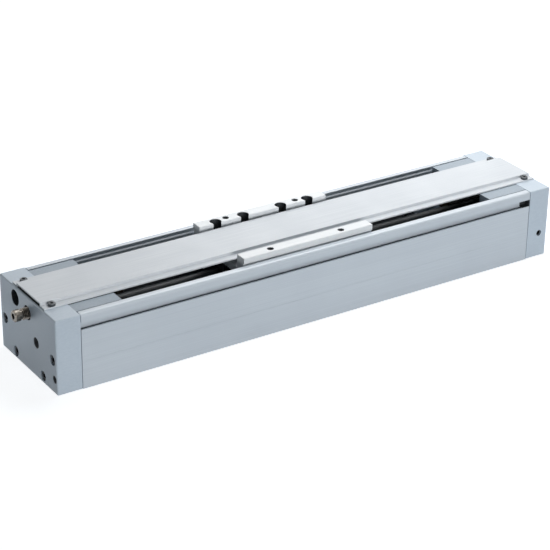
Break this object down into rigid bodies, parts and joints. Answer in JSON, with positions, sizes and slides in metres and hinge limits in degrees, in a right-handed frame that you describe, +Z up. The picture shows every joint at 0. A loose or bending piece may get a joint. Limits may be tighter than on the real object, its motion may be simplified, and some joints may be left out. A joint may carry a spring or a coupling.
{
  "type": "rodless pneumatic cylinder",
  "caption": "Rodless pneumatic cylinder: long box body with block end plates, a magnetically driven table on profile rails standing through top slots, and adjustable end stops.",
  "frame": {"origin": "centre of the underside, between the end plates", "axes": "+X along the stroke, towards the right end plate; +Y from the front side to the rear side; +Z up, out of the table"},
  "size_m": [0.529, 0.1, 0.0732],
  "materials": {
    "anodised_aluminium": "clear satin anodised extrusion and milled plate",
    "cover_aluminium": "brushed and clear anodised sheet",
    "filler_aluminium": "matt anodised",
    "table_aluminium": "fine milled, clear anodised",
    "tube_steel": "drawn stainless tube",
    "guide_steel": "ground",
    "black_steel": "black oxide",
    "stop_steel": "zinc plated",
    "magnet": "nickel plated",
    "yoke_steel": "turned, plain",
    "piston_aluminium": "turned",
    "seal_rubber": "matt",
    "wear_plastic": "matt",
    "end_seal_plastic": "moulded",
    "bumper_urethane": "matt"
  },
  "bodies": {
    "housing": {"end_plate_left": "anodised_aluminium", "end_plate_right": "anodised_aluminium", "base": "anodised_aluminium", "side_cover_front": "anodised_aluminium", "side_cover_rear": "anodised_aluminium", "top_cover": "cover_aluminium", "corner_block_front_left": "filler_aluminium", "corner_block_front_right": "filler_aluminium", "corner_block_rear_left": "filler_aluminium", "corner_block_rear_right": "filler_aluminium", "cylinder_tube": "tube_steel", "tube_gaskets": "seal_rubber", "cushion_spear_left": "piston_aluminium", "cushion_spear_right": "piston_aluminium", "guide_rail_front": "guide_steel", "guide_rail_rear": "guide_steel", "rail_screws": "black_steel", "end_plate_screws": "black_steel", "cover_screws": "black_steel", "passage_plugs": "black_steel"},
    "carriage": {"slide_table": "table_aluminium", "magnet_housing": "table_aluminium", "outer_magnets": "magnet", "outer_yokes": "yoke_steel", "slider_end_rings": "piston_aluminium", "slider_wear_rings": "wear_plastic", "slider_scrapers": "seal_rubber", "guide_block_front_left": "guide_steel", "guide_block_front_right": "guide_steel", "guide_block_rear_left": "guide_steel", "guide_block_rear_right": "guide_steel", "block_end_seals": "end_seal_plastic", "rear_block_screws": "black_steel", "front_block_screws": "black_steel", "housing_screws": "black_steel", "stop_block_left": "guide_steel", "stop_block_right": "guide_steel", "stop_block_screws": "black_steel"},
    "piston": {"piston_shaft": "piston_aluminium", "piston_head_left": "piston_aluminium", "piston_head_right": "piston_aluminium", "inner_magnets": "magnet", "inner_yokes": "yoke_steel", "piston_seals": "seal_rubber", "piston_wear_rings": "wear_plastic", "piston_nuts": "piston_aluminium", "cushion_seals": "seal_rubber"},
    "stop_left": {"stop_bolt_left": "stop_steel", "stop_bumper_left": "bumper_urethane"},
    "stop_right": {"stop_bolt_right": "stop_steel", "stop_bumper_right": "bumper_urethane"}
  },
  "joints": [
    {"name": "table_slide", "type": "slide", "parent": "housing", "child": "carriage", "axis": [1, 0, 0], "range_m": [-0.094, 0.106]},
    {"name": "piston_slide", "type": "slide", "parent": "housing", "child": "piston", "axis": [1, 0, 0], "range_m": [-0.094, 0.106]},
    {"name": "stop_left_adjust", "type": "slide", "parent": "housing", "child": "stop_left", "axis": [1, 0, 0], "range_m": [-0.005, 0]},
    {"name": "stop_right_adjust", "type": "slide", "parent": "housing", "child": "stop_right", "axis": [-1, 0, 0], "range_m": [-0.005, 0]}
  ],
  "couplings": [
    {"joint": "piston_slide", "follows": "table_slide", "ratio": 1}
  ]
}
